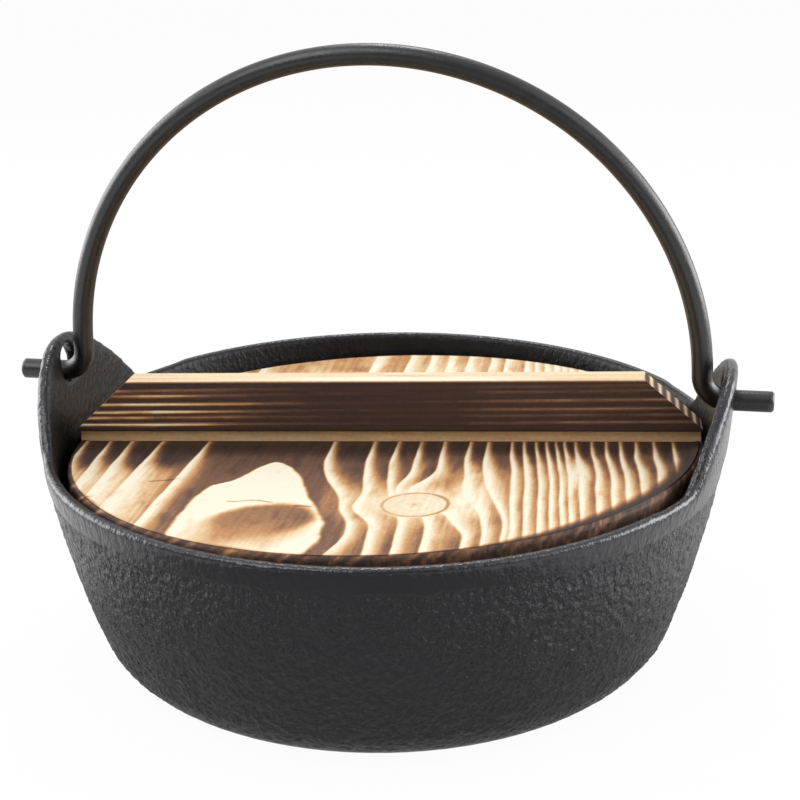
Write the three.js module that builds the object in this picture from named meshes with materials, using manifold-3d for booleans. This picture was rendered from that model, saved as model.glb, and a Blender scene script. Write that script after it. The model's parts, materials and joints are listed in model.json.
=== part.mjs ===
// Cast-iron hot pot with a swinging rod bail and a drop-in wooden lid.
// Millimetres, +Z up. The origin is the centre of the flat base, on the ground.
// The ears and the bail pivot lie on the X axis, and the front of the pot is -Y.
import * as THREE from "three";
import { mergeVertices } from "three/addons/utils/BufferGeometryUtils.js";
import Module from "manifold-3d";

// Bowl
const RIM_RADIUS = 125;          // outer radius at the rim
const RIM_HEIGHT = 80.5;         // rim above the ground
const WALL = 4.3;                // casting thickness
const BASE_RADIUS = 89.8;        // flat of the underside
const CORNER_RADIUS = 20;        // outside round between base and wall
const WALL_BULGE = 1.5;          // outward swell half way up the wall
const RIM_ROUND = 1.2;           // softened rim edges
const ROUND_SEGMENTS = 96;

// Ears, cast in one piece with the bowl
const EAR_RISE = 31.2;           // top of the ear above the rim
const EAR_HALF_WIDTH = 47.5;     // half width where the ear meets the rim
const EAR_FOOT_IN = 7.5;         // pull of the ear's edge inwards above the rim
const EAR_FOOT_UP = 9.5;         // height of that pull above the rim
const EAR_CROWN = 22;            // half width of the level pull at the top
const EAR_ROOT = 14;             // depth of the ear's root in the wall, below the rim
const EAR_LEAN = 2.6;            // outward lean over the height of the ear
const EAR_THICKNESS = 5.2;
const EAR_ROUND = 1.2;           // softened ear edges
const EYE_RADIUS = 7.4;          // hole for the bail
const EYE_CLEARANCE = 0.35;      // under the rod, which rests low in the eye

// Bail
const PIVOT_RISE = 16.9;         // bail pivot above the rim
const ROD_RADIUS = 3.75;
const ARCH_INSET = 9.7;          // arch centre line inside the rim, clear of the ears
const ARCH_CENTRE = 6.5;         // centre of the arch above the pivot
const HOOK_RADIUS = 9;           // bend from the leg into the eye
const STUB_OUT = 15.5;           // rod end beyond the rim
const BAIL_LEAN = 5.64;          // degrees towards the front, as it stands at rest
const ROD_SIDES = 14;
const ROD_STEPS = 150;

// Lid, which sits a little askew in the flared bowl
const LID_MARGIN = 8.6;          // lid edge inside the outer rim
const LID_THICKNESS = 17.5;
const LID_EDGE = 1.6;            // worn bevel round the lid
const LID_TILT = 2.56;           // degrees
const LID_HIGH_SIDE = -49;       // degrees from +X, towards the front on the right
const LID_TURN = 4;              // degrees of the batten from the X axis
const SEAT_GAP = 0.35;           // between the lid's lower edge and the wall
const BOARD_JOINT = 45;          // glue line from the middle, along the batten
const GLUE_GAP = 0.3;

// Batten, driven into a dovetail groove across both boards
const BATTEN_WIDTH = 12.5;
const BATTEN_HEIGHT = 19.3;
const BATTEN_LIFT = 4.2;         // underside of the grip above the lid
const BATTEN_END = 1;            // upright part of each end, below the slope
const BATTEN_CUT = 20.5;         // length of the slope at each end
const NECK_WIDTH = 7.3;
const TONGUE_WIDTH = 10.6;
const TONGUE_DEPTH = 6.5;
const TONGUE_GAP = 0.3;
const BATTEN_EDGE = 0.8;

// Sizes that follow from the rim
const ARCH_RADIUS = RIM_RADIUS - ARCH_INSET;
const STUB_REACH = RIM_RADIUS + STUB_OUT;
const LID_RADIUS = RIM_RADIUS - LID_MARGIN;

const rad = THREE.MathUtils.degToRad;
const wasm = await Module();
wasm.setup();

// Solid helpers
function toSolid(geometry) {
  const bare = geometry.index ? geometry.toNonIndexed() : geometry.clone();
  bare.deleteAttribute("normal");
  bare.deleteAttribute("uv");
  const merged = mergeVertices(bare, 1e-4);
  return new wasm.Manifold(new wasm.Mesh({
    numProp: 3,
    vertProperties: new Float32Array(merged.attributes.position.array),
    triVerts: new Uint32Array(merged.index.array),
  }));
}

function toMesh(solid, name, material) {
  const { vertProperties, triVerts } = solid.getMesh();
  const geometry = new THREE.BufferGeometry();
  geometry.setAttribute("position", new THREE.BufferAttribute(vertProperties, 3));
  geometry.setIndex(new THREE.BufferAttribute(triVerts, 1));
  geometry.computeVertexNormals();
  const mesh = new THREE.Mesh(geometry, material);
  mesh.name = name;
  return mesh;
}

function box(width, depth, height, x, y, z) {
  return toSolid(new THREE.BoxGeometry(width, depth, height).translate(x, y, z));
}

// A profile of [radius, height] points, closed on itself and turned about Z.
function turned(points, segments = ROUND_SEGMENTS) {
  const loop = [...points, points[0]].map(([r, z]) => new THREE.Vector2(r, z));
  return toSolid(new THREE.LatheGeometry(loop, segments).rotateX(Math.PI / 2));
}

// An outline in the X-Z plane, made solid from -depth/2 to depth/2 along Y.
function uprightPrism(shape, depth, curveSegments = 12) {
  const geometry = new THREE.ExtrudeGeometry(shape, { depth, bevelEnabled: false, curveSegments });
  return toSolid(geometry.translate(0, 0, -depth / 2).rotateX(Math.PI / 2));
}

// Bowl profile
const cornerTurn = cornerTangent();
const wallFoot = {
  r: BASE_RADIUS + CORNER_RADIUS * Math.cos(cornerTurn),
  z: CORNER_RADIUS - CORNER_RADIUS * Math.sin(cornerTurn),
};

// Angle of the wall from upright where it leaves the corner round and runs to the rim.
function cornerTangent() {
  const run = RIM_RADIUS - BASE_RADIUS;
  const rise = RIM_HEIGHT - CORNER_RADIUS;
  const reach = Math.hypot(run, rise);
  return Math.atan2(run, rise) - Math.asin(CORNER_RADIUS / reach);
}

function outerRadius(z) {
  const t = (z - wallFoot.z) / (RIM_HEIGHT - wallFoot.z);
  return THREE.MathUtils.lerp(wallFoot.r, RIM_RADIUS, t) + 4 * WALL_BULGE * t * (1 - t);
}

function innerRadius(z) {
  return outerRadius(z) - WALL / Math.cos(cornerTurn);
}

function bowlProfile() {
  const outside = [[0, 0], [BASE_RADIUS, 0]];
  const inside = [];
  const cornerSteps = 7;
  for (let i = 1; i < cornerSteps; i++) {
    const a = -Math.PI / 2 + (i / cornerSteps) * (Math.PI / 2 - cornerTurn);
    const [c, s] = [Math.cos(a), Math.sin(a)];
    outside.push([BASE_RADIUS + CORNER_RADIUS * c, CORNER_RADIUS + CORNER_RADIUS * s]);
    const hollow = CORNER_RADIUS - WALL;
    inside.unshift([BASE_RADIUS + hollow * c, CORNER_RADIUS + hollow * s]);
  }
  const wallSteps = 7;
  for (let i = 0; i < wallSteps; i++) {
    const z = THREE.MathUtils.lerp(wallFoot.z, RIM_HEIGHT - RIM_ROUND, i / (wallSteps - 1));
    outside.push([outerRadius(z), z]);
    inside.unshift([innerRadius(z), z]);
  }
  outside.push([outerRadius(RIM_HEIGHT) - RIM_ROUND, RIM_HEIGHT]);
  outside.push([innerRadius(RIM_HEIGHT) + RIM_ROUND, RIM_HEIGHT]);
  return [...outside, ...inside, [BASE_RADIUS, WALL], [0, WALL]];
}

// A leaning band of the rim's circle, cut to the ear's outline.
function earBand() {
  const low = RIM_HEIGHT - EAR_ROOT;
  const high = RIM_HEIGHT + EAR_RISE;
  const inset = (EAR_THICKNESS - WALL / Math.cos(cornerTurn)) / 2;
  const inner = innerRadius(RIM_HEIGHT) - inset;
  const outer = inner + EAR_THICKNESS;
  return turned([
    [innerRadius(low) + WALL / 4, low],
    [outerRadius(low) - WALL / 4, low],
    [outer, RIM_HEIGHT],
    [outer + EAR_LEAN, high - EAR_ROUND * 2],
    [outer + EAR_LEAN - EAR_ROUND, high + EAR_ROUND],
    [inner + EAR_LEAN + EAR_ROUND, high + EAR_ROUND],
    [inner + EAR_LEAN, high - EAR_ROUND * 2],
    [inner, RIM_HEIGHT],
  ]);
}

function earOutline() {
  const root = RIM_HEIGHT - EAR_ROOT;
  const top = RIM_HEIGHT + EAR_RISE;
  const foot = RIM_HEIGHT + EAR_FOOT_UP;
  const w = EAR_HALF_WIDTH;
  const shape = new THREE.Shape();
  shape.moveTo(-w, root);
  shape.lineTo(w, root);
  shape.lineTo(w, RIM_HEIGHT - RIM_ROUND);
  shape.bezierCurveTo(w - EAR_FOOT_IN, foot, EAR_CROWN, top, 0, top);
  shape.bezierCurveTo(-EAR_CROWN, top, EAR_FOOT_IN - w, foot, -w, RIM_HEIGHT - RIM_ROUND);
  shape.closePath();
  return shape;
}

function makePotBody(material) {
  const span = 2 * (RIM_RADIUS + EAR_LEAN + EAR_THICKNESS);
  const earCut = uprightPrism(earOutline(), span, 10).rotate([0, 0, 90]);
  const eyeHeight = RIM_HEIGHT + PIVOT_RISE + EYE_RADIUS - ROD_RADIUS - EYE_CLEARANCE;
  const eye = toSolid(new THREE.CylinderGeometry(EYE_RADIUS, EYE_RADIUS, span * 1.1, 28)
    .rotateZ(Math.PI / 2).translate(0, 0, eyeHeight));
  const ears = earBand().intersect(earCut);
  return toMesh(turned(bowlProfile()).add(ears).subtract(eye), "pot_body", material);
}

// Bail: stub, hook, half-round arch, hook, stub, in its own upright plane about the pivot.
class BailPath extends THREE.Curve {
  constructor() {
    super();
    const hookX = ARCH_RADIUS + HOOK_RADIUS;
    const stub = STUB_REACH - hookX;
    const quarter = HOOK_RADIUS * Math.PI / 2;
    const leg = ARCH_CENTRE - HOOK_RADIUS;
    this.startAngle = Math.asin(leg / ARCH_RADIUS);
    this.lengths = [stub, quarter, ARCH_RADIUS * (Math.PI + 2 * this.startAngle), quarter, stub];
    this.total = this.lengths.reduce((sum, part) => sum + part, 0);
  }

  getPoint(t, target = new THREE.Vector3()) {
    const mirrored = t > 0.5;
    const [stub, quarter] = this.lengths;
    const s = (mirrored ? 1 - t : t) * this.total;
    const hookX = ARCH_RADIUS + HOOK_RADIUS;
    let x = STUB_REACH - s;
    let z = 0;
    if (s > stub + quarter) {
      const a = (s - stub - quarter) / ARCH_RADIUS - this.startAngle;
      x = ARCH_RADIUS * Math.cos(a);
      z = ARCH_CENTRE + ARCH_RADIUS * Math.sin(a);
    } else if (s > stub) {
      const a = (s - stub) / HOOK_RADIUS;
      x = hookX - HOOK_RADIUS * Math.sin(a);
      z = HOOK_RADIUS - HOOK_RADIUS * Math.cos(a);
    }
    return target.set(mirrored ? x : -x, 0, z);
  }
}

function makeBail(material) {
  const section = new THREE.Shape();
  section.absarc(0, 0, ROD_RADIUS, 0, Math.PI * 2);
  const rod = new THREE.ExtrudeGeometry(section, {
    steps: ROD_STEPS,
    extrudePath: new BailPath(),
    curveSegments: ROD_SIDES / 2,
    bevelEnabled: false,
  });
  const group = new THREE.Group();
  group.add(toMesh(toSolid(rod), "bail_handle", material));
  group.position.z = RIM_HEIGHT + PIVOT_RISE;
  group.rotation.x = rad(BAIL_LEAN);
  return group;
}

// Lid, modelled flat with its top face at zero and the batten along X.
function tongueOutline(gap) {
  const shape = new THREE.Shape();
  const depth = TONGUE_DEPTH + gap;
  const rise = BATTEN_LIFT + BATTEN_EDGE;
  shape.moveTo(-NECK_WIDTH / 2 - gap, rise);
  shape.lineTo(-NECK_WIDTH / 2 - gap, 0);
  shape.lineTo(-TONGUE_WIDTH / 2 - gap, -depth);
  shape.lineTo(TONGUE_WIDTH / 2 + gap, -depth);
  shape.lineTo(NECK_WIDTH / 2 + gap, 0);
  shape.lineTo(NECK_WIDTH / 2 + gap, rise);
  shape.closePath();
  return shape;
}

function lidDisc() {
  const edge = LID_EDGE;
  return turned([
    [0, -LID_THICKNESS],
    [LID_RADIUS - edge / 2, -LID_THICKNESS],
    [LID_RADIUS, edge / 2 - LID_THICKNESS],
    [LID_RADIUS, -edge],
    [LID_RADIUS - edge, 0],
    [0, 0],
  ]);
}

function makeBoards(material) {
  const span = LID_RADIUS * 2.2;
  const groove = uprightPrism(tongueOutline(TONGUE_GAP), span).rotate([0, 0, 90]);
  const disc = lidDisc().subtract(groove);
  const right = box(span, span, span, BOARD_JOINT + (GLUE_GAP + span) / 2, 0, 0);
  const left = box(span, span, span, BOARD_JOINT - (GLUE_GAP + span) / 2, 0, 0);
  return [
    toMesh(disc.intersect(left), "lid_board_left", material),
    toMesh(disc.intersect(right), "lid_board_right", material),
  ];
}

function makeBatten(material) {
  const reach = LID_RADIUS - SEAT_GAP;
  const low = BATTEN_LIFT;
  const top = BATTEN_LIFT + BATTEN_HEIGHT;
  const grip = new THREE.Shape();
  grip.moveTo(-reach, low);
  grip.lineTo(reach, low);
  grip.lineTo(reach, low + BATTEN_END);
  grip.lineTo(reach - BATTEN_CUT, top);
  grip.lineTo(BATTEN_CUT - reach, top);
  grip.lineTo(-reach, low + BATTEN_END);
  grip.closePath();
  const section = new THREE.Shape();
  const [half, edge] = [BATTEN_WIDTH / 2, BATTEN_EDGE];
  section.moveTo(-half, low);
  section.lineTo(half, low);
  section.lineTo(half, top - edge);
  section.lineTo(half - edge, top);
  section.lineTo(edge - half, top);
  section.lineTo(-half, top - edge);
  section.closePath();
  const bar = uprightPrism(section, 2.2 * LID_RADIUS).rotate([0, 0, 90]);
  const tongue = uprightPrism(tongueOutline(0), 2 * (reach - LID_EDGE)).rotate([0, 0, 90]);
  const solid = uprightPrism(grip, 2 * BATTEN_WIDTH).intersect(bar).add(tongue);
  return toMesh(solid, "lid_batten", material);
}

// Height of the middle of the lid's top face when its lower edge sits in the flared wall.
function lidHeight() {
  let z = RIM_HEIGHT;
  for (let i = 0; i < 24; i++) {
    z += (LID_RADIUS + SEAT_GAP - innerRadius(z)) * 2;
  }
  return z + LID_THICKNESS * Math.cos(rad(LID_TILT));
}

function makeLid(boardMaterial, battenMaterial) {
  const lid = new THREE.Group();
  lid.add(...makeBoards(boardMaterial), makeBatten(battenMaterial));
  lid.rotation.z = rad(LID_TURN - LID_HIGH_SIDE);
  const tilt = new THREE.Group();
  tilt.add(lid);
  tilt.rotation.y = -rad(LID_TILT);
  const place = new THREE.Group();
  place.add(tilt);
  place.rotation.z = rad(LID_HIGH_SIDE);
  const flare = Math.tan(cornerTurn) * LID_RADIUS * Math.sin(rad(LID_TILT));
  const swing = LID_THICKNESS * Math.sin(rad(LID_TILT));
  const shift = flare - swing;
  const high = rad(LID_HIGH_SIDE);
  place.position.set(shift * Math.cos(high), shift * Math.sin(high), lidHeight());
  return place;
}

const castIron = new THREE.MeshStandardMaterial({ color: 0x26262a, roughness: 0.55, metalness: 0.6 });
const blackRod = new THREE.MeshStandardMaterial({ color: 0x1d1d20, roughness: 0.42, metalness: 0.7 });
const burntCedar = new THREE.MeshStandardMaterial({ color: 0x9a6a42, roughness: 0.75, metalness: 0 });
const burntBatten = new THREE.MeshStandardMaterial({ color: 0x5a3826, roughness: 0.7, metalness: 0 });

const pot = new THREE.Group();
pot.add(makePotBody(castIron), makeBail(blackRod), makeLid(burntCedar, burntBatten));
export default pot;
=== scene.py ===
"""Looks for the cast-iron hot pot: casting skin, blackened rod bail and burnt cedar lid."""

import json
import math

import bpy
import numpy as np
from mathutils import Matrix, Vector, noise


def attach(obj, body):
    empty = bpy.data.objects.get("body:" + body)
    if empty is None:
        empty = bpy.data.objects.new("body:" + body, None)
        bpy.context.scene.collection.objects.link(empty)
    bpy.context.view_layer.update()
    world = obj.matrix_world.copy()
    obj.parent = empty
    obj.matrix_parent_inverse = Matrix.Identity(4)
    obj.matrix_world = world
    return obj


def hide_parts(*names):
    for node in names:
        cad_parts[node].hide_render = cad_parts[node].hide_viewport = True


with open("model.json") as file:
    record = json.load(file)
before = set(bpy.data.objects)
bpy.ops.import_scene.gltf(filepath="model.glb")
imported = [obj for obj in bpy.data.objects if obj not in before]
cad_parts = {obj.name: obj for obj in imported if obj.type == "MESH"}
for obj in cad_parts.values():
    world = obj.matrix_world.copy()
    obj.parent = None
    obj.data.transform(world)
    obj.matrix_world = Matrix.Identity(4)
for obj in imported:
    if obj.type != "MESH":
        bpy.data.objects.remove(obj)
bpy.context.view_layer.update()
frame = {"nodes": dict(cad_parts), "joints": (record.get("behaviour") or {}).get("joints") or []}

MM = 0.001

# Bowl and ears, in millimetres
RIM_HEIGHT = 80.5
RIM_RADIUS = 125.0
SKIN_VOXEL = 1.0
SOFTEN_PASSES = 4
SMOOTH_BAND = 9.0        # plain band under the rim, above the rough casting skin
SKIN_RELIEF = 0.36       # height of the bumps on the outer wall
BUMP_ACROSS = 1.7
BUMP_UP = 2.3
SWELL_RELIEF = 0.20      # slow unevenness of the wall under the bumps
SWELL = 8.0
BAND_STEP = 0.35         # the plain band stands proud of the rough wall
EYE_RISE = 20.2          # middle of the ear's eye above the rim
EYE_KEEP = 11.0          # crisp zone round the eye
EAR_PASSES = 20
EAR_FROM = 100.0         # the ears lie outside this distance from the middle
PLAIN_SKIN = 0.32        # share of the fine pits left on the band, the rim and the inside
INWARD = -0.25           # faces that look inward more than this take the duller iron
# Lighter specks on the rim, the ears and the rough wall: rubbed wear with painted glints, and painted sheen
# on the ears
RIM_WEAR_AND_GLINT = 0.28
EAR_WEAR_AND_SHEEN = 0.55
WALL_WEAR_AND_GLINT = 0.16

# Bail
PIVOT_RISE = 16.9
ROD_RADIUS = 3.75
ARCH_RADIUS = RIM_RADIUS - 9.7
ARCH_CENTRE = 6.5
HOOK_RADIUS = 9.0
STUB_REACH = RIM_RADIUS + 15.5
BAIL_LEAN = 5.64
ROD_SIDES = 36
ROD_CHAMFER = 0.7
HOOK_STEPS = 16
ARCH_STEPS = 90

# Lid
LID_RADIUS = RIM_RADIUS - 8.6
LID_THICKNESS = 17.5
LID_EDGE = 1.6
LID_TILT = 2.56
LID_HIGH_SIDE = -49.0
LID_TURN = 4.0
BOARD_JOINT = 45.0
BOARD_STEP = 0.45
BOARD_ROWS = 400
BOARD_RELIEF = 0.34      # depth of the burnt grain
EDGE_STREAK = 3.2        # width of the pale streaks on the lid's edge
EDGE_SLANT = 1.6
EDGE_GLOW = (0.06, 0.04, 0.02)   # the edge is a little paler close under the top
BOARD_TIP = 0.02         # the outermost row stops just short of the circle

# Batten
BATTEN_WIDTH = 12.5
BATTEN_HEIGHT = 19.3
BATTEN_LIFT = 4.2
BATTEN_END = 1.0
BATTEN_CUT = 20.5
BATTEN_REACH = 116.0
NECK_WIDTH = 7.3
NECK_TONE = 0.675
NECK_SINK = 1.2          # how far the neck reaches into its groove here
BATTEN_EDGE = 0.7        # softened upper edges
BATTEN_FOOT = 0.4        # softened lower edges
BATTEN_RELIEF = 0.22     # depth of the burnt lines in its faces
BATTEN_STEPS = 330
RISE_STEPS = 40
TOP_STEPS = 10

# Camera fitted to the photograph
CAMERA_PLACE = (117.1, -554.88, 287.13)
CAMERA_RIGHT = (0.9816, 0.1902, -0.0168)
CAMERA_UP = (-0.0466, 0.3238, 0.9450)
CAMERA_BACK = (0.1852, -0.9268, 0.3267)
FOCAL_PIXELS = 1624.0
PHOTO_WIDTH = 800.0
SENSOR = 36.0


def smoothstep(low, high, value):
    """A soft step from 0 at low to 1 at high."""
    t = np.clip((value - low) / (high - low), 0.0, 1.0)
    return t * t * (3.0 - 2.0 * t)


def bump_at(value, middle, width):
    """A smooth hump of height 1."""
    return np.exp(-((value - middle) / width) ** 2)


def field(x, y, z=0.0, octaves=3):
    """Smooth noise between about -1 and 1 at arrays of points."""
    z = np.broadcast_to(np.asarray(z, float), np.shape(x))
    spots = zip(np.ravel(x), np.ravel(y), np.ravel(z))
    values = [noise.fractal(Vector(p), 1.0, 2.0, octaves) for p in spots]
    return np.array(values).reshape(np.shape(x))


def new_piece(name, verts, faces, materials, body, node, tone=None):
    """A smooth mesh that stands for one CAD node; tone is a value for each point."""
    mesh = bpy.data.meshes.new(name)
    mesh.from_pydata((np.asarray(verts) * MM).tolist(), [], faces)
    mesh.update()
    if tone is not None:
        layer = mesh.attributes.new("tone", "FLOAT", "POINT")
        layer.data.foreach_set("value", np.asarray(tone, dtype=np.float32))
    piece = bpy.data.objects.new(name, mesh)
    bpy.context.collection.objects.link(piece)
    for material in materials:
        mesh.materials.append(material)
    mesh.polygons.foreach_set("use_smooth", [True] * len(mesh.polygons))
    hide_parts(node)
    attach(piece, body)
    return piece


# Materials
class Nodes:
    """A short way to write a material's node tree."""

    def __init__(self, name):
        self.material = bpy.data.materials.new(name)
        self.material.use_nodes = True
        self.tree = self.material.node_tree
        self.shader = self.tree.nodes["Principled BSDF"]

    def add(self, kind, links=None, **values):
        node = self.tree.nodes.new(kind)
        for key, value in values.items():
            setattr(node, key, value)
        for key, source in (links or {}).items():
            self.put(node.inputs[key], source)
        return node

    def put(self, socket, source):
        if isinstance(source, bpy.types.NodeSocket):
            self.tree.links.new(source, socket)
        else:
            socket.default_value = source

    def ramp(self, factor, stops):
        node = self.add("ShaderNodeValToRGB", {"Fac": factor})
        ramp = node.color_ramp
        while len(ramp.elements) < len(stops):
            ramp.elements.new(0.5)
        for element, (place, colour) in zip(ramp.elements, stops):
            element.position = place
            element.color = (*colour, 1.0) if len(colour) == 3 else (colour[0],) * 3 + (1.0,)
        return node.outputs["Color"]

    def noise(self, vector, scale, detail=4.0, rough=0.6):
        links = {"Vector": vector, "Scale": scale, "Detail": detail, "Roughness": rough}
        return self.add("ShaderNodeTexNoise", links).outputs["Fac"]

    def stretched(self, scale):
        where = self.add("ShaderNodeTexCoord").outputs["Object"]
        return self.add("ShaderNodeMapping", {"Vector": where, "Scale": scale}).outputs["Vector"]

    def attribute(self, name):
        return self.add("ShaderNodeAttribute", attribute_name=name).outputs["Fac"]

    def math(self, operation, a, b):
        return self.add("ShaderNodeMath", {0: a, 1: b}, operation=operation).outputs[0]

    def rise(self, value, span):
        links = {"Value": value, "From Min": span[0], "From Max": span[1]}
        return self.add("ShaderNodeMapRange", links).outputs[0]

    def bump(self, height, strength, distance, under=None):
        links = {"Height": height, "Strength": strength, "Distance": distance}
        if under is not None:
            links["Normal"] = under
        return self.add("ShaderNodeBump", links).outputs["Normal"]

    def finish(self, **sockets):
        for key, source in sockets.items():
            self.put(self.shader.inputs[key.replace("_", " ")], source)
        return self.material


def iron_material(name, gloss, smooth, rough):
    """Dark iron; gloss is the shader's specular level, smooth and rough its roughness range."""
    n = Nodes(name)
    where = n.stretched((1.0, 1.0, 1.0))
    grain = n.noise(where, 900.0, 5.0, 0.65)
    patch = n.noise(where, 45.0, 4.0, 0.6)
    # The tone attribute, broken into specks, lightens the iron: rubbed wear with painted glints and painted
    # sheen
    speck = n.ramp(n.noise(where, 800.0, 4.0, 0.75), [(0.42, (0.12,)), (0.64, (1.0,))])
    glint_and_wear = n.math("MULTIPLY", n.attribute("tone"), speck)
    skin = n.attribute("skin")
    shade = n.math("ADD", n.math("MULTIPLY", patch, 0.55), glint_and_wear)
    colour = n.ramp(shade, [(0.15, (0.0022, 0.0022, 0.0028)), (0.45, (0.0042, 0.0042, 0.0050)),
                            (0.70, (0.013, 0.013, 0.015)), (1.0, (0.150, 0.152, 0.165))])
    dull = n.ramp(n.math("ADD", n.math("MULTIPLY", grain, 0.5), n.math("MULTIPLY", patch, 0.5)),
                  [(0.25, (smooth,)), (0.75, (rough,))])
    pits = n.noise(n.stretched((1.0, 1.0, 0.7)), 500.0, 2.0, 0.5)
    normal = n.bump(grain, 0.22, 0.0004, n.bump(pits, n.math("MULTIPLY", skin, 0.75), 0.0022))
    return n.finish(Base_Color=colour, Roughness=dull, Normal=normal, Specular_IOR_Level=gloss,
                    Specular_Tint=(0.96, 0.95, 1.0, 1.0))


def rod_material():
    """Blackened steel rod with slightly scuffed gloss."""
    n = Nodes("blackened_rod")
    where = n.stretched((1.0, 1.0, 1.0))
    scuff = n.noise(where, 160.0, 5.0, 0.7)
    fine = n.noise(where, 1100.0, 3.0, 0.6)
    colour = n.ramp(scuff, [(0.3, (0.0016, 0.0016, 0.0020)), (0.62, (0.0032, 0.0032, 0.0036)),
                            (0.8, (0.010, 0.010, 0.012))])
    rough = n.ramp(scuff, [(0.3, (0.24,)), (0.75, (0.42,))])
    normal = n.bump(fine, 0.3, 0.0003)
    return n.finish(Base_Color=colour, Roughness=rough, Normal=normal, Specular_IOR_Level=0.80)


CHAR = (0.020, 0.012, 0.010)
DARK_BROWN = (0.062, 0.030, 0.019)
BURNT = (0.185, 0.086, 0.045)
AMBER = (0.520, 0.250, 0.095)
STRAW = (0.755, 0.530, 0.290)
CREAM = (0.905, 0.830, 0.660)


def burnt_wood_material(name, along):
    """Colour from the tone on the mesh, broken up by fibres that run along the board."""
    n = Nodes(name)
    fibre = n.noise(n.stretched(along), 1.0, 6.0, 0.7)
    speck = n.noise(n.stretched((1.0, 1.0, 1.0)), 700.0, 3.0, 0.6)
    wobble = n.math("ADD", n.math("MULTIPLY", fibre, 0.20), n.math("MULTIPLY", speck, 0.13))
    tone = n.math("ADD", n.attribute("tone"), n.math("SUBTRACT", wobble, 0.165))
    colour = n.ramp(tone, [(0.02, CHAR), (0.20, DARK_BROWN), (0.40, BURNT), (0.58, AMBER),
                           (0.74, STRAW), (0.92, CREAM)])
    rough = n.ramp(tone, [(0.1, (0.62,)), (0.9, (0.50,))])
    normal = n.bump(fibre, 0.35, 0.0004, n.bump(speck, 0.15, 0.0002))
    return n.finish(Base_Color=colour, Roughness=rough, Normal=normal, Specular_IOR_Level=0.35)


def plain_wood_material():
    """Unburnt underside: pale cedar with soft grain across the batten."""
    n = Nodes("plain_cedar")
    rings = n.noise(n.stretched((160.0, 6.0, 60.0)), 1.0, 4.0, 0.55)
    fibre = n.noise(n.stretched((900.0, 22.0, 900.0)), 1.0, 4.0, 0.6)
    mix = n.math("ADD", n.math("MULTIPLY", rings, 0.75), n.math("MULTIPLY", fibre, 0.25))
    colour = n.ramp(mix, [(0.30, (0.300, 0.150, 0.066)), (0.5, (0.520, 0.320, 0.150)),
                          (0.72, (0.640, 0.440, 0.240))])
    return n.finish(Base_Color=colour, Roughness=0.62, Normal=n.bump(fibre, 0.25, 0.0003))


# Pot body
def soften_ears(mesh, verts):
    """Round the ears' edges and their roots, with the eyes left crisp."""
    ends = np.empty(len(mesh.edges) * 2, dtype=np.int32)
    mesh.edges.foreach_get("vertices", ends)
    a, b = ends.reshape(-1, 2).T
    count = np.bincount(a, minlength=len(verts)) + np.bincount(b, minlength=len(verts))
    x, y, z = verts.T
    share = smoothstep(EAR_FROM, EAR_FROM + 6.0, np.abs(x))
    share *= smoothstep(RIM_HEIGHT - 12.0, RIM_HEIGHT - 2.0, z)
    share *= smoothstep(EYE_KEEP - 3.0, EYE_KEEP, np.hypot(y, z - RIM_HEIGHT - EYE_RISE))
    for _ in range(EAR_PASSES):
        for axis in range(3):
            values = verts[:, axis]
            total = np.bincount(a, values[b], len(verts)) + np.bincount(b, values[a], len(verts))
            verts[:, axis] = values + 0.5 * share * (total / count - values)
    return verts


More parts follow.
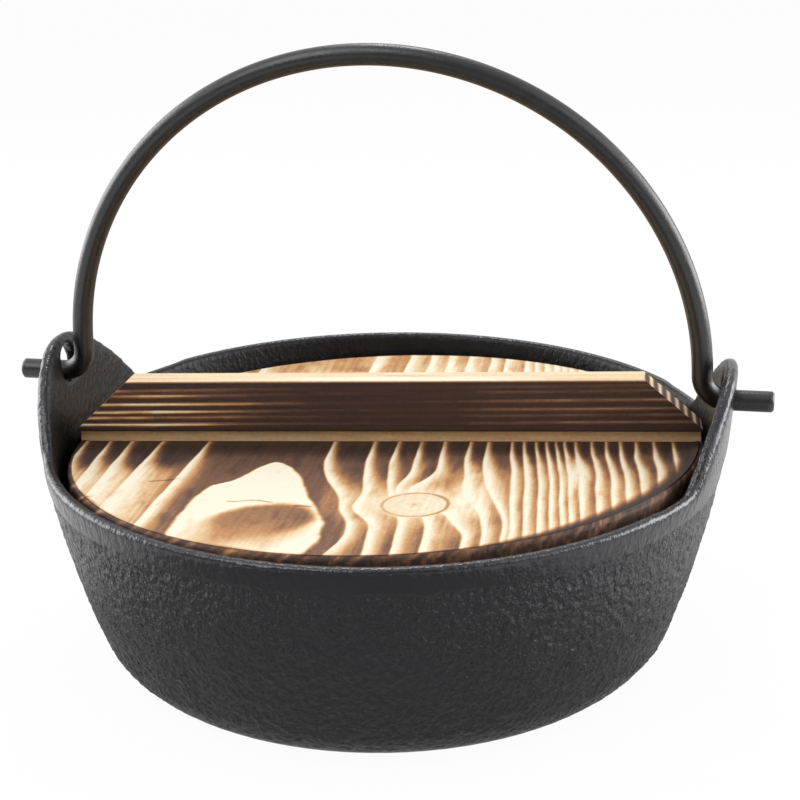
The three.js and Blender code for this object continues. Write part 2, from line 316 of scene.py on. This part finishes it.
def make_pot(materials):
    """The casting: the CAD solid with softened edges and a rough skin on the outer wall."""
    source = frame["nodes"]["pot_body"]
    worker = bpy.data.objects.new("pot_worker", source.data.copy())
    bpy.context.collection.objects.link(worker)
    remesh = worker.modifiers.new("skin", "REMESH")
    remesh.mode = "VOXEL"
    remesh.voxel_size = SKIN_VOXEL * MM
    soften = worker.modifiers.new("soften", "SMOOTH")
    soften.factor = 0.5
    soften.iterations = SOFTEN_PASSES
    shown = worker.evaluated_get(bpy.context.evaluated_depsgraph_get())
    mesh = bpy.data.meshes.new_from_object(shown)
    bpy.data.objects.remove(worker)
    verts = np.empty(len(mesh.vertices) * 3)
    normals = np.empty_like(verts)
    mesh.vertices.foreach_get("co", verts)
    mesh.vertices.foreach_get("normal", normals)
    verts = verts.reshape(-1, 3) / MM
    normals = normals.reshape(-1, 3)
    faces = [tuple(p.vertices) for p in mesh.polygons]
    verts = soften_ears(mesh, verts)
    reach = np.hypot(verts[:, 0], verts[:, 1])
    outward = (normals[:, 0] * verts[:, 0] + normals[:, 1] * verts[:, 1]) / np.maximum(reach, 1.0)
    rough = smoothstep(0.25, 0.6, outward) * smoothstep(2.0, 8.0, verts[:, 2])
    rough *= 1.0 - smoothstep(RIM_HEIGHT - SMOOTH_BAND - 1.5, RIM_HEIGHT - SMOOTH_BAND + 1.0, verts[:, 2])
    picked = np.nonzero(rough > 0.01)[0]
    x, y, z = verts[picked].T
    lumps = SKIN_RELIEF * field(x / BUMP_ACROSS, y / BUMP_ACROSS, z / BUMP_UP, 2)
    lumps += SWELL_RELIEF * field(x / SWELL, y / SWELL, z / SWELL, 2)
    verts[picked] += normals[picked] * (rough[picked] * (lumps - BAND_STEP))[:, None]
    # Tone that lightens the iron: rubbed wear with painted glints on the rim and the wall, painted sheen on
    # the ears
    over_rim = verts[:, 2] - RIM_HEIGHT
    glint_and_wear = RIM_WEAR_AND_GLINT * bump_at(over_rim, 0.0, 1.5) * smoothstep(0.1, 0.5, normals[:, 2])
    ear_edge = smoothstep(RIM_RADIUS + 1.5, RIM_RADIUS + 3.0, reach)
    glint_and_wear += EAR_WEAR_AND_SHEEN * ear_edge * smoothstep(0.0, 8.0, over_rim)
    glint_and_wear += WALL_WEAR_AND_GLINT * rough
    bpy.data.meshes.remove(mesh)
    piece = new_piece("pot_casting", verts, faces, materials, "pot", "pot_body", glint_and_wear)
    layer = piece.data.attributes.new("skin", "FLOAT", "POINT")
    layer.data.foreach_set("value", np.maximum(rough, PLAIN_SKIN).astype(np.float32))
    inside = outward < INWARD
    first = np.array([face[0] for face in faces])
    piece.data.polygons.foreach_set("material_index", inside[first].astype(np.int32))


# Bail
def bail_line():
    """Points of the rod's centre line, in the bail's own plane."""
    hook_x = ARCH_RADIUS + HOOK_RADIUS
    start = math.asin((ARCH_CENTRE - HOOK_RADIUS) / ARCH_RADIUS)
    points = [(STUB_REACH - i, 0.0) for i in range(int(STUB_REACH - hook_x) + 1)]
    for i in range(1, HOOK_STEPS + 1):
        a = math.pi / 2 * i / HOOK_STEPS
        points.append((hook_x - HOOK_RADIUS * math.sin(a), HOOK_RADIUS - HOOK_RADIUS * math.cos(a)))
    for i in range(1, ARCH_STEPS):
        a = -start + (math.pi / 2 + start) * i / ARCH_STEPS
        points.append((ARCH_RADIUS * math.cos(a), ARCH_CENTRE + ARCH_RADIUS * math.sin(a)))
    right = np.array(points)
    left = right[::-1] * [-1.0, 1.0]
    return np.vstack([right, [[0.0, ARCH_CENTRE + ARCH_RADIUS]], left])


def make_bail(material):
    """One rod swept along its centre line, with chamfered ends, leaning as it does at rest."""
    line = bail_line()
    heading = np.gradient(line, axis=0)
    heading /= np.linalg.norm(heading, axis=1)[:, None]
    side = np.stack([-heading[:, 1], heading[:, 0]], axis=1)
    radius = np.full(len(line), ROD_RADIUS)
    radius[[0, -1]] = ROD_RADIUS - ROD_CHAMFER
    line[1] = line[0] + (line[1] - line[0]) * ROD_CHAMFER
    line[-2] = line[-1] + (line[-2] - line[-1]) * ROD_CHAMFER
    angle = np.linspace(0, 2 * np.pi, ROD_SIDES, endpoint=False)
    lean = math.radians(BAIL_LEAN)
    verts = []
    for (px, pz), (sx, sz), r in zip(line, side, radius):
        for a in angle:
            x = px + r * math.cos(a) * sx
            up = pz + r * math.cos(a) * sz
            y = r * math.sin(a)
            verts.append((x, y * math.cos(lean) - up * math.sin(lean),
                          RIM_HEIGHT + PIVOT_RISE + y * math.sin(lean) + up * math.cos(lean)))
    faces = []
    for i in range(len(line) - 1):
        for j in range(ROD_SIDES):
            k = (j + 1) % ROD_SIDES
            faces.append((i * ROD_SIDES + j, i * ROD_SIDES + k,
                          (i + 1) * ROD_SIDES + k, (i + 1) * ROD_SIDES + j))
    last = (len(line) - 1) * ROD_SIDES
    faces.append(tuple(range(ROD_SIDES - 1, -1, -1)))
    faces.append(tuple(range(last, last + ROD_SIDES)))
    piece = new_piece("bail_rod", verts, faces, [material], "bail", "bail_handle")
    for cap in (-1, -2):
        piece.data.polygons[cap].use_smooth = False


# Lid
def lid_place():
    """The lid's tilt as a matrix, and the middle of its top."""
    pivot = next(j for j in frame["joints"] if j["name"] == "lid_turn")
    turn = (Matrix.Rotation(math.radians(LID_HIGH_SIDE), 3, "Z")
            @ Matrix.Rotation(-math.radians(LID_TILT), 3, "Y")
            @ Matrix.Rotation(math.radians(LID_TURN - LID_HIGH_SIDE), 3, "Z"))
    return np.array(turn), np.array(pivot["pos_m"]) / MM


LID_TURNED, LID_MIDDLE = lid_place()


def in_pot_frame(points):
    """Points of the level lid, moved to where the lid lies in the bowl."""
    return np.asarray(points) @ LID_TURNED.T + LID_MIDDLE


# Growth rings where they meet the batten, in millimetres from the middle of the lid
LEFT_RINGS = (-125.0, -113.0, -104.0, -95.5, -83.5, -65.5, -18.0, -3.0, 6.0, 14.3, 23.0, 32.5, 39.0)
RIGHT_RINGS = (47.6, 52.0, 56.4, 60.1, 63.6, 66.6, 70.5, 76.4, 81.6, 86.6, 92.2, 98.6, 105.5, 112.0, 125.0)
FLAME_LEFT = LEFT_RINGS[5]
FLAME_RIGHT = LEFT_RINGS[6]
KNOT = (19.2, -70.5)
KNOT_RADIUS = 10.8
HEART = (-28.0, -85.0)        # brown middle of the flame
BESIDE_KNOT = (36.0, -62.0)   # pale wood right of the knot
BULGE = (72.5, -38.0)         # a swollen pale ring on the narrow board
SKIRT = -44.0                 # browned foot of the flame

# Outline of the pale flame: depth from the batten, then its left and right edges
FLAME_DEPTH = (24.0, 26.0, 31.0, 40.0, 45.0, 49.0, 60.0, 70.0, 84.0, 100.0, 118.0)
FLAME_FROM = (-36.0, -38.5, -41.5, -45.0, -48.0, -54.0, -57.0, -58.0, -58.4, -58.8, -59.5)
FLAME_TO = (-35.5, -32.0, -28.0, -23.0, -21.8, -20.5, -17.0, -12.8, -7.6, -7.2, -12.5)

# Hairline cracks, two in the flame and two left of it: from x, to x, depth from the batten
CRACKS = ((-46.0, -28.0, 64.0), (-22.0, -14.0, 69.0), (-100.0, -91.0, 63.0), (-78.0, -66.0, 46.0))


def ring_at(ring, depth):
    """Where one growth ring runs at a depth in front of the batten; behind it the rings run straight."""
    late = smoothstep(20.0, 88.0, depth)
    if ring < FLAME_LEFT - 1.0:
        return ring + depth * (0.05 - 0.10 * smoothstep(-104.0, -83.0, ring)) * 0.8
    if ring < FLAME_LEFT + 1.0:
        return ring - 0.052 * depth
    if ring < FLAME_RIGHT + 1.0:
        return ring + 18.0 * late - 2.2 * bump_at(depth, 72.0, 9.0) - 4.0 * smoothstep(92.0, 116.0, depth)
    if ring < LEFT_RINGS[-1] + 1.0:
        toward = bump_at(ring, 21.0, 9.0)
        beside = bump_at(ring, -3.0, 8.0)
        past = bump_at(ring, 23.0, 6.0)
        return (ring + 10.6 * late - (12.0 * toward + 1.0) * bump_at(depth, 56.0, 15.0)
                - 6.0 * beside * bump_at(depth, 70.0, 11.0) + 4.0 * past * smoothstep(80.0, 96.0, depth))
    fall = 1.0 - smoothstep(64.0, 108.0, ring) * 0.75
    return ring + fall * (2.8 * smoothstep(0.0, 48.0, depth) + 1.6 * smoothstep(40.0, 100.0, depth))


def ring_place(x, depth):
    """Distances from the ring on the left and to the ring on the right, and the left ring's number."""
    rings = LEFT_RINGS + RIGHT_RINGS
    before = np.full(x.shape, -1e3)
    after = np.full(x.shape, 1e3)
    number = np.zeros(x.shape, int)
    for i, ring in enumerate(rings):
        line = ring_at(ring, depth)
        passed = line <= x
        number = np.where(passed & (line > before), i, number)
        before = np.where(passed, np.maximum(before, line), before)
        after = np.where(passed, after, np.minimum(after, line))
    return x - before, after - x, number


def flame_tone(x, depth, shade):
    """The pale flame between two wide rings and how far a point is inside it."""
    from_left = x - np.interp(depth, FLAME_DEPTH, FLAME_FROM)
    from_right = np.interp(depth, FLAME_DEPTH, FLAME_TO) - x
    margin = np.minimum(from_left, from_right)
    margin = np.minimum(margin, (depth - FLAME_DEPTH[0]) * 1.4) + 0.5 * field(x / 5.0, depth / 7.0, 21.0, 2)
    along = (x - HEART[0]) / np.where(x > HEART[0], 17.0, 24.0) + 0.05 * (depth + HEART[1]) / 10.0
    down = (depth + HEART[1]) / np.where(depth + HEART[1] > 0, 28.0, 20.0)
    soft = smoothstep(-8.0, 10.0, depth + HEART[1] - 0.12 * (x - HEART[0]))
    way = np.sqrt(along ** 2 + down ** 2) + 0.10 * shade
    heart = 1.0 - smoothstep(0.76 - 0.46 * soft, 1.02 + 0.08 * soft, way)
    heart = heart * (1.0 - 0.30 * smoothstep(78.0, 104.0, depth))
    skirt = smoothstep(84.0, 104.0, depth) * bump_at(x, SKIRT, 8.0) * (0.7 + 0.6 * shade)
    mottle = np.maximum(field(x / 5.0, depth / 9.0, 17.0, 4), 0.0)
    tone = 0.95 - 0.47 * heart - 0.26 * skirt + 0.06 * shade - 0.09 * mottle
    for start, stop, place in CRACKS[:2]:
        span = smoothstep(start, start + 2.0, x) * (1.0 - smoothstep(stop - 2.0, stop, x))
        tone -= 0.40 * span * bump_at(depth, place + 0.05 * (x - start) + 0.8 * np.sin(x * 0.4), 0.5)
    return tone, smoothstep(-0.5, 1.6, margin)


def knot_tone(x, y, shade):
    """A small tight knot: light heart, thin brown ring, cream wood around it."""
    way = np.hypot((x - KNOT[0]) / KNOT_RADIUS, (y - KNOT[1]) / KNOT_RADIUS)
    way = way + 0.02 * field(x / 4.0, y / 4.0, 31.0, 2)
    eye = 0.83 + 0.05 * shade + 0.018 * np.sin(way * 21.0) - 0.16 * np.exp(-(way / 0.13) ** 2)
    eye -= 0.24 * bump_at(way, 1.0, 0.045)
    eye -= 0.22 * bump_at(way, 1.06, 0.05) * smoothstep(0.0, 8.0, x - KNOT[0])
    return eye, 1.0 - smoothstep(1.05, 1.16, way)


def board_tone(x, y):
    """Burnt grain of the lid's top face: 0 is char and 1 is cream."""
    away = np.maximum(np.abs(y) - NECK_WIDTH / 2, 0.0)
    front = y < 0
    depth = np.where(front, away, 0.0)
    shade = field(x / 26.0, y / 30.0, 9.0, 3)
    wander = 0.7 * field(x / 14.0, y / 30.0, 3.0, 2) * smoothstep(2.0, 20.0, away)
    gone, left, number = ring_place(x + wander, depth)
    width = gone + left
    right_board = x > BOARD_JOINT
    vary = np.sin(number * 2.4) * 0.5 + 0.5
    on_left = 1.0 - smoothstep(-72.0, -66.0, x)
    by_knot = bump_at(x, KNOT[0] - 1.0, 22.0) * bump_at(y, KNOT[1] + 4.0, 20.0)
    beside = bump_at(x, BESIDE_KNOT[0], 10.0) * bump_at(y, BESIDE_KNOT[1], 26.0)
    by_knot = np.maximum(by_knot, 0.95 * beside)
    bulge = bump_at(x, BULGE[0], 3.6) * bump_at(y, BULGE[1], 17.0)
    tip = 11.0 + 9.0 * vary + 3.0 * shade + 10.0 * on_left
    burnt = 1.0 - smoothstep(tip - 7.0, tip + 9.0, away)
    gap = 0.29 + 0.10 * smoothstep(20.0, 80.0, away) + 0.10 * shade
    gap += 0.26 * on_left * smoothstep(18.0, 46.0, away) + 0.06 * right_board * smoothstep(14.0, 40.0, away)
    gap += 0.58 * by_knot + 0.50 * bulge
    gap = np.where(front, gap, 0.62 + 0.14 * shade)
    gap = gap * (1.0 - burnt) + (0.13 + 0.04 * shade) * burnt
    fade = (0.9 + 0.26 * np.minimum(width, 12.0)) * (0.45 + 0.85 * smoothstep(3.0, 45.0, away))
    fade = fade * (1.0 + 0.9 * on_left * smoothstep(15.0, 45.0, away))
    glow = np.maximum(np.exp(-(gone / fade) ** 1.7), np.exp(-(left / 0.55) ** 2))
    bright = 0.70 + 0.27 * smoothstep(0.0, 16.0, away)
    tone = gap + np.maximum(bright - gap, 0.0) * glow
    tone = tone + 0.07 * field(x / 1.7, y / 42.0, 13.0, 2) * (1.0 - 0.6 * glow)
    tone = tone - 0.13 * np.maximum(field(x / 4.0, y / 11.0, 19.0, 4), 0.0)
    flame, inside = flame_tone(x, depth, shade)
    inside = inside * front
    tone = tone * (1.0 - inside) + flame * inside
    eye, seen = knot_tone(x, y, shade)
    tone = tone * (1.0 - seen) + eye * seen
    for start, stop, place in CRACKS[2:]:
        span = smoothstep(start, start + 2.0, x) * (1.0 - smoothstep(stop - 2.0, stop, x))
        tone -= 0.25 * span * bump_at(depth, place - 0.3 * (x - start), 0.5)
    inward = LID_RADIUS - np.hypot(x, y)
    smoke = np.where(front, smoothstep(38.0, 78.0, x), 0.0)
    band = 2.4 + 5.6 * smoke + 1.4 * shade
    scorch = 1.0 - smoothstep(0.35 * band, band, inward)
    tone = tone * (1.0 - scorch * (0.50 + 0.42 * smoke)) + 0.04 * scorch
    tone = np.where(away < 1.2, tone * (0.35 + 0.5 * away), tone)
    return np.clip(tone, 0.03, 1.0)


def board_relief(tone):
    """Burnt soft wood is brushed away, so the pale rings stand proud."""
    return BOARD_RELIEF * (smoothstep(0.15, 0.85, tone) - 1.0)


def make_board(name, low, high, materials, node):
    """One board: a fine top face in relief, a rounded burnt edge and a plain underside."""
    columns = int(round((high - low) / BOARD_STEP)) + 1
    xs = np.linspace(low, high, columns)
    inner = LID_RADIUS - LID_EDGE
    half = np.sqrt(np.maximum(inner ** 2 - xs ** 2, 0.04))
    spread = np.linspace(-1.0, 1.0, BOARD_ROWS)
    x = np.repeat(xs[:, None], BOARD_ROWS, axis=1)
    y = half[:, None] * spread[None, :]
    tone = board_tone(x, y)
    border = np.minimum(1.0, (inner - np.hypot(x, y)) / 2.0)
    z = board_relief(tone) * np.clip(border, 0.0, 1.0)
    verts = [np.stack([x.ravel(), y.ravel(), z.ravel()], axis=1)]
    tones = [tone.ravel()]
    index = np.arange(columns * BOARD_ROWS).reshape(columns, BOARD_ROWS)
    corners = index[:-1, :-1], index[1:, :-1], index[1:, 1:], index[:-1, 1:]
    faces = list(zip(*(corner.ravel() for corner in corners)))
    loop = np.concatenate([index[:, 0], index[-1, 1:], index[-2::-1, -1], index[0, -2:0:-1]])
    ring = verts[0][loop]
    at_edge = np.hypot(ring[:, 0], ring[:, 1]) > inner - 0.05
    grow = np.where(at_edge, LID_RADIUS / np.maximum(np.hypot(ring[:, 0], ring[:, 1]), 1.0), 1.0)
    count = columns * BOARD_ROWS
    previous = loop
    # Loops down the side: how far out on the rounded edge, and how high
    levels = [(0.45, -0.35), (0.85, -0.9), (1.0, -1.9)]
    levels += [(1.0, -d) for d in (4.0, 6.5, 9.0, 11.5, 14.0)]
    levels += [(1.0, 0.9 - LID_THICKNESS), (0.4, -LID_THICKNESS)]
    for step, (out, height) in enumerate(levels):
        scale = 1.0 + (grow - 1.0) * out
        level = np.stack([ring[:, 0] * scale, ring[:, 1] * scale, np.full(len(ring), height)], axis=1)
        verts.append(level)
        slant = EDGE_SLANT * height / LID_RADIUS
        turned = ring[:, 0] + slant * ring[:, 1], ring[:, 1] - slant * ring[:, 0]
        streak = field(turned[0] / EDGE_STREAK, turned[1] / EDGE_STREAK, 5.0, 3)
        lit = EDGE_GLOW[step] if step < len(EDGE_GLOW) else 0.0
        tones.append(np.clip(0.20 + lit + 0.42 * np.maximum(streak, -0.3), 0.03, 0.70))
        current = count + np.arange(len(ring))
        nxt = np.roll(current, -1)
        was = np.roll(previous, -1)
        faces += list(zip(was, nxt, current, previous))
        previous = current
        count += len(ring)
    faces = [tuple(int(i) for i in f) for f in faces]
    faces.append(tuple(int(i) for i in previous[::-1]))
    piece = new_piece(name, in_pot_frame(np.vstack(verts)), faces, materials, "lid", node,
                      np.concatenate(tones))
    piece.data.polygons[-1].material_index = 1
    piece.data.polygons[-1].use_smooth = False


# The batten's surfaces: long faces, top, ends and neck
FACE, TOP, END, NECK = range(4)

# Height and brightness of the ring edges on the batten's faces
BATTEN_LINES = ((3.3, 0.80), (6.0, 0.58), (8.3, 0.80), (11.4, 0.86), (14.8, 0.48), (16.8, 0.40))


def batten_tone(x, y, h, side):
    """Dark burnt faces with pale ring edges along the length; the top is planed pale."""
    drift = 0.012 * x + 0.35 * field(x / 70.0, h / 5.0, 2.0, 2)
    tone = 0.135 + 0.045 * field(x / 24.0, h / 1.6, 4.0, 3)
    strong = 0.13 + 1.0 * smoothstep(15.0, 92.0, -x) + 0.34 * smoothstep(12.0, 70.0, x)
    for i, (line, light) in enumerate(BATTEN_LINES):
        gap = h - line - drift * (0.4 + 0.1 * i)
        sharp = np.where(gap > 0, np.exp(-(gap / 0.35) ** 2), np.exp(-(gap / 0.85) ** 2))
        vary = 0.80 + 0.6 * field(x / 32.0, np.full_like(x, 3.0 * i), 8.0, 3)
        tone = tone + sharp * strong * vary * light
    tone = tone * (0.55 + 0.45 * smoothstep(0.0, 1.4, h))
    top = 0.80 + 0.08 * field(x / 55.0, y / 2.2, 6.0, 3)
    top += 0.14 * bump_at(x, 12.0, 38.0) * smoothstep(1.0, -4.0, y)
    end = 0.45 + 0.45 * np.sin(h * 2.3 + 0.9 * np.sin(y * 0.5))
    neck = np.full_like(x, NECK_TONE)
    return np.select([side == TOP, side == END, side == NECK], [top, end, neck], tone)


def make_batten(material):
    """The grip bar as rings of its section, with sloped ends and softened edges, on a narrower neck."""
    half, low, top = BATTEN_WIDTH / 2, BATTEN_LIFT, BATTEN_LIFT + BATTEN_HEIGHT
    neck = NECK_WIDTH / 2
    rise = np.linspace(low + BATTEN_FOOT, top - BATTEN_EDGE, RISE_STEPS)
    front = [(-half, h, FACE) for h in rise[::-1]]
    back = [(half, h, FACE) for h in rise]
    cap = [(v, top, TOP) for v in np.linspace(half - BATTEN_EDGE, BATTEN_EDGE - half, TOP_STEPS)]
    foot = [(BATTEN_FOOT - half, low, FACE)]
    foot += [(-neck, h, NECK) for h in (low, low / 2, -NECK_SINK)]
    foot += [(neck, h, NECK) for h in (-NECK_SINK, low / 2, low)]
    foot += [(half - BATTEN_FOOT, low, FACE)]
    section = np.array(back + cap + front + foot)
    along = np.linspace(-1.0, 1.0, BATTEN_STEPS)
    slope = np.maximum(section[:, 1] - low - BATTEN_END, 0.0) * BATTEN_CUT / (BATTEN_HEIGHT - BATTEN_END)
    limit = np.where(section[:, 2] == NECK, BATTEN_REACH - BATTEN_FOOT, BATTEN_REACH - slope)
    x = along[:, None] * limit[None, :]
    y = np.repeat(section[None, :, 0], BATTEN_STEPS, axis=0)
    h = np.repeat(section[None, :, 1], BATTEN_STEPS, axis=0)
    kind = np.repeat(section[None, :, 2], BATTEN_STEPS, axis=0)
    tone = batten_tone(x, y, h - low, kind)
    groove = np.where(kind == FACE, BATTEN_RELIEF * (smoothstep(0.1, 0.6, tone) - 1.0), 0.0)
    y = y - np.sign(y) * np.abs(groove) * (np.abs(y) > half - 0.01)
    size = section.shape[0]
    grid = np.stack([x.ravel(), y.ravel(), h.ravel()], axis=1)
    faces = []
    for i in range(BATTEN_STEPS - 1):
        for j in range(size):
            k = (j + 1) % size
            faces.append((i * size + j, i * size + k, (i + 1) * size + k, (i + 1) * size + j))
    tones = [tone.ravel()]
    verts = [grid]
    count = BATTEN_STEPS * size
    # Each end is a stack of strips across the section, so that its end grain shows.
    front_start = RISE_STEPS + TOP_STEPS
    front_end = front_start + RISE_STEPS
    for end, row in ((-1, 0), (1, BATTEN_STEPS - 1)):
        ring = grid[row * size:(row + 1) * size]
        end_tone = batten_tone(ring[:, 0], ring[:, 1], ring[:, 2] - low, np.full(size, END))
        verts.append(ring)
        tones.append(end_tone)
        ids = [count + j for j in range(size)]
        count += size
        backs = list(range(RISE_STEPS))
        fronts = list(range(front_start, front_end))[::-1]
        quads = [(ids[a], ids[b], ids[c], ids[d]) for a, b, c, d in
                 zip(backs[:-1], backs[1:], fronts[1:], fronts[:-1])]
        caps = [tuple(ids[j] for j in range(RISE_STEPS - 1, front_start + 1))]
        foots = [tuple(ids[j] for j in list(range(front_end - 1, size)) + [0])]
        shell = quads + caps + foots
        faces += [f if end < 0 else f[::-1] for f in shell]
    tones = np.clip(np.concatenate(tones), 0.03, 1.0)
    piece = new_piece("batten", in_pot_frame(np.vstack(verts)), faces, [material],
                      "lid", "lid_batten", tones)
    piece.data.polygons.foreach_set("use_smooth", [False] * len(piece.data.polygons))


# Stage
ROOM_SIDE = 0.38         # brightness in reflections of the camera's side and of a strip of floor
ROOM_TURN = (-0.7, 0.1)  # the room turns white between these directions along y
DIM_BEHIND = (0.25, 0.50)   # that strip turns white this far behind the middle, in metres
DIM_BESIDE = (0.10, 0.18)   # and this far to each side
FLOOR_WHITE = 0.955      # share of plain white in the floor, the rest takes the shadow
FLOOR_HALF = 4.0
AMBIENT = 0.55
WHITE = (1.0, 1.0, 1.0, 1.0)
LAMP_AIM = (0.0, 0.0, 0.07)

# Lamps: name, place in metres, power in watts, size in metres
LAMPS = (
    ("key", (-0.55, -0.75, 1.15), 6.0, 0.9),
    ("fill", (0.95, -0.45, 0.75), 2.5, 0.9),
    ("right", (1.0, 0.30, 0.27), 10.0, 0.8),
    ("left", (-1.0, 0.20, 0.27), 8.0, 0.9),
    ("back", (-0.10, 0.55, 1.05), 2.6, 0.3),
)


def make_stage():
    """A white floor that keeps the shadow; the strip in line with the pot mirrors dimmer, painted shade of
    the floor round the pot.
    """
    n = Nodes("pale_floor")
    n.tree.nodes.remove(n.shader)
    out = n.tree.nodes["Material Output"]
    diffuse = n.add("ShaderNodeBsdfDiffuse", {"Color": (0.93, 0.93, 0.93, 1.0)})
    white = n.add("ShaderNodeEmission", {"Color": WHITE, "Strength": 1.0})
    path = n.add("ShaderNodeLightPath")
    seen = n.math("MAXIMUM", path.outputs["Is Camera Ray"], path.outputs["Is Transmission Ray"])
    part = n.math("MULTIPLY", seen, FLOOR_WHITE)
    plain = n.add("ShaderNodeMixShader", {0: part, 1: diffuse.outputs[0], 2: white.outputs[0]})
    place = n.add("ShaderNodeNewGeometry").outputs["Position"]
    x, y = n.add("ShaderNodeSeparateXYZ", {"Vector": place}).outputs[:2]
    # Reflections see plain emission without shadow; this dim strip is painted shade under and round the
    # pot, running on toward the camera's side
    behind = n.rise(y, DIM_BEHIND)
    beside = n.rise(n.math("ABSOLUTE", x, 0.0), DIM_BESIDE)
    bright = n.math("MAXIMUM", n.math("MAXIMUM", behind, beside), ROOM_SIDE)
    mirrored = n.add("ShaderNodeEmission", {"Color": WHITE, "Strength": bright})
    mixed = n.add("ShaderNodeMixShader", {0: path.outputs["Is Glossy Ray"], 1: plain.outputs[0],
                                          2: mirrored.outputs[0]})
    n.tree.links.new(mixed.outputs[0], out.inputs["Surface"])
    mesh = bpy.data.meshes.new("floor")
    corners = [(-FLOOR_HALF, -FLOOR_HALF, 0), (FLOOR_HALF, -FLOOR_HALF, 0),
               (FLOOR_HALF, FLOOR_HALF, 0), (-FLOOR_HALF, FLOOR_HALF, 0)]
    mesh.from_pydata(corners, [], [(0, 1, 2, 3)])
    floor = bpy.data.objects.new("floor", mesh)
    bpy.context.collection.objects.link(floor)
    mesh.materials.append(n.material)


def make_world():
    """White to the eye; in reflections white behind the pot and dimmer on the camera's side."""
    world = bpy.data.worlds.new("studio")
    bpy.context.scene.world = world
    world.use_nodes = True
    tree = world.node_tree

    def add(kind, **values):
        node = tree.nodes.new(kind)
        for key, value in values.items():
            setattr(node, key, value)
        return node

    def mixed(factor, first, second):
        node = add("ShaderNodeMixShader")
        for socket, source in zip(node.inputs, (factor, first, second)):
            tree.links.new(source, socket)
        return node.outputs[0]

    ground = tree.nodes["Background"]
    ground.inputs["Color"].default_value = WHITE
    ground.inputs["Strength"].default_value = AMBIENT
    white = add("ShaderNodeBackground")
    white.inputs["Color"].default_value = WHITE
    white.inputs["Strength"].default_value = 1.0
    path = add("ShaderNodeLightPath")
    seen = add("ShaderNodeMath", operation="MAXIMUM")
    tree.links.new(path.outputs["Is Camera Ray"], seen.inputs[0])
    tree.links.new(path.outputs["Is Transmission Ray"], seen.inputs[1])
    direction = add("ShaderNodeSeparateXYZ")
    tree.links.new(add("ShaderNodeTexCoord").outputs["Generated"], direction.inputs[0])
    bright = add("ShaderNodeMapRange")
    ends = (*ROOM_TURN, ROOM_SIDE, 1.0)
    for key, value in zip(("From Min", "From Max", "To Min", "To Max"), ends):
        bright.inputs[key].default_value = value
    tree.links.new(direction.outputs["Y"], bright.inputs["Value"])
    mirrored = add("ShaderNodeBackground")
    mirrored.inputs["Color"].default_value = WHITE
    tree.links.new(bright.outputs[0], mirrored.inputs["Strength"])
    plain = mixed(seen.outputs[0], ground.outputs[0], white.outputs[0])
    shown = mixed(path.outputs["Is Glossy Ray"], plain, mirrored.outputs[0])
    tree.links.new(shown, tree.nodes["World Output"].inputs["Surface"])


def make_lamp(name, place, power, size):
    """A square lamp that looks at the middle of the pot."""
    data = bpy.data.lights.new(name, "AREA")
    data.energy = power
    data.size = size
    lamp = bpy.data.objects.new(name, data)
    lamp.location = place
    aim = Vector(LAMP_AIM) - Vector(place)
    lamp.rotation_euler = aim.to_track_quat("-Z", "Y").to_euler()
    bpy.context.collection.objects.link(lamp)


def make_camera():
    """The camera that was fitted to the photograph."""
    data = bpy.data.cameras.new("photo_camera")
    data.sensor_width = SENSOR
    data.lens = FOCAL_PIXELS * SENSOR / PHOTO_WIDTH
    data.clip_start = 0.01
    camera = bpy.data.objects.new("photo_camera", data)
    turn = Matrix((CAMERA_RIGHT, CAMERA_UP, CAMERA_BACK)).transposed()
    camera.matrix_world = Matrix.Translation(Vector(CAMERA_PLACE) * MM) @ turn.to_4x4()
    bpy.context.collection.objects.link(camera)
    bpy.context.scene.camera = camera


make_camera()
make_stage()
make_world()
for lamp in LAMPS:
    make_lamp(*lamp)
bpy.context.scene.view_settings.view_transform = "Standard"

make_pot([iron_material("seasoned_cast_iron", 0.80, 0.12, 0.26),
          iron_material("inner_iron", 0.35, 0.30, 0.48)])
make_bail(rod_material())
board_look = [burnt_wood_material("burnt_cedar", (700.0, 26.0, 300.0)), plain_wood_material()]
lid_tip = LID_RADIUS - LID_EDGE - BOARD_TIP
make_board("board_left", -lid_tip, BOARD_JOINT, board_look, "lid_board_left")
make_board("board_right", BOARD_JOINT, lid_tip, board_look, "lid_board_right")
make_batten(burnt_wood_material("burnt_batten", (26.0, 700.0, 700.0)))
